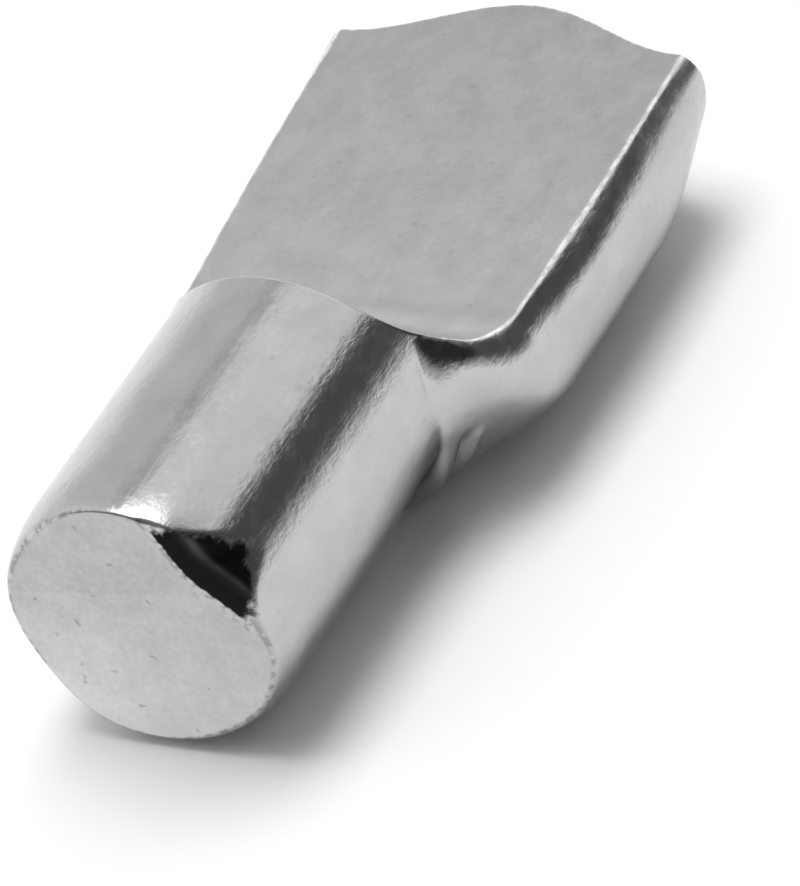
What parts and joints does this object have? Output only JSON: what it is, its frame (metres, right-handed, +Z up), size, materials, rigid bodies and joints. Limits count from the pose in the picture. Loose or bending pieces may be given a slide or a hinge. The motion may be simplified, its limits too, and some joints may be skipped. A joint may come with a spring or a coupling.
{
  "type": "shelf support pin",
  "caption": "Spoon-type shelf support pin pressed from round steel wire: a round shank for a cabinet hole and a broad flat seat that carries the shelf.",
  "frame": {"origin": "on the axis of the round shank, under the top edge of the step, where the cabinet's side ends", "axes": "+X along the shank from the cabinet towards the paddle's tip, +Y to the left, +Z up, square to the flat seat"},
  "size_m": [0.0158, 0.0072, 0.005],
  "materials": {
    "bright_nickel": "bright nickel plate, satin on the seat"
  },
  "bodies": {
    "root": {"shelf_pin": "bright_nickel"}
  },
  "joints": []
}
